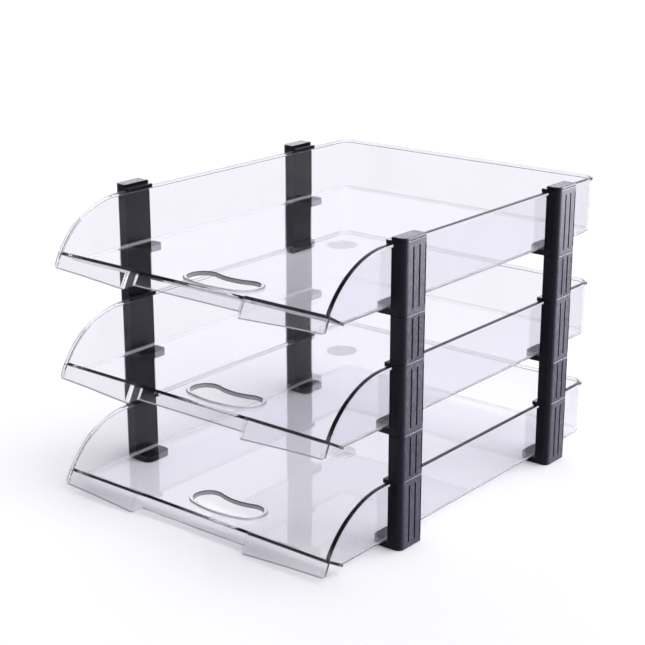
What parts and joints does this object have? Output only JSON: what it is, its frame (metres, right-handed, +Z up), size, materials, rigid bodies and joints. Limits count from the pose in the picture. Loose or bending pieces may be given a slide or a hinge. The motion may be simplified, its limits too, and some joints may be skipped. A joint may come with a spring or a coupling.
{
  "type": "stacking letter tray",
  "caption": "Clear letter trays with rolled rims and finger holes, stacked on black clip-on riser columns; the tiers lift apart.",
  "frame": {"origin": "on the table, under the middle of the whole object's outline", "axes": "+Z up, the open front with the finger holes towards -Y, +X to the right of a person facing that front"},
  "size_m": [0.2746, 0.3486, 0.2263],
  "materials": {
    "clear_tray": "clear polystyrene, polished",
    "riser_black": "moulded black, semi-gloss"
  },
  "bodies": {
    "tier_1": {"tray_1": "clear_tray", "clip_1_front_left": "riser_black", "clip_1_front_right": "riser_black", "clip_1_rear_left": "riser_black", "clip_1_rear_right": "riser_black"},
    "tier_2": {"tray_2": "clear_tray", "spacer_1_front_left": "riser_black", "spacer_1_front_right": "riser_black", "spacer_1_rear_left": "riser_black", "spacer_1_rear_right": "riser_black", "clip_2_front_left": "riser_black", "clip_2_front_right": "riser_black", "clip_2_rear_left": "riser_black", "clip_2_rear_right": "riser_black"},
    "tier_3": {"tray_3": "clear_tray", "spacer_2_front_left": "riser_black", "spacer_2_front_right": "riser_black", "spacer_2_rear_left": "riser_black", "spacer_2_rear_right": "riser_black", "clip_3_front_left": "riser_black", "clip_3_front_right": "riser_black", "clip_3_rear_left": "riser_black", "clip_3_rear_right": "riser_black", "cap_front_left": "riser_black", "cap_front_right": "riser_black", "cap_rear_left": "riser_black", "cap_rear_right": "riser_black"}
  },
  "joints": [
    {"name": "tier_2_lift", "type": "slide", "parent": "tier_1", "child": "tier_2", "axis": [0, 0, 1], "range_m": [0, 0.04]},
    {"name": "tier_3_lift", "type": "slide", "parent": "tier_2", "child": "tier_3", "axis": [0, 0, 1], "range_m": [0, 0.04]}
  ]
}
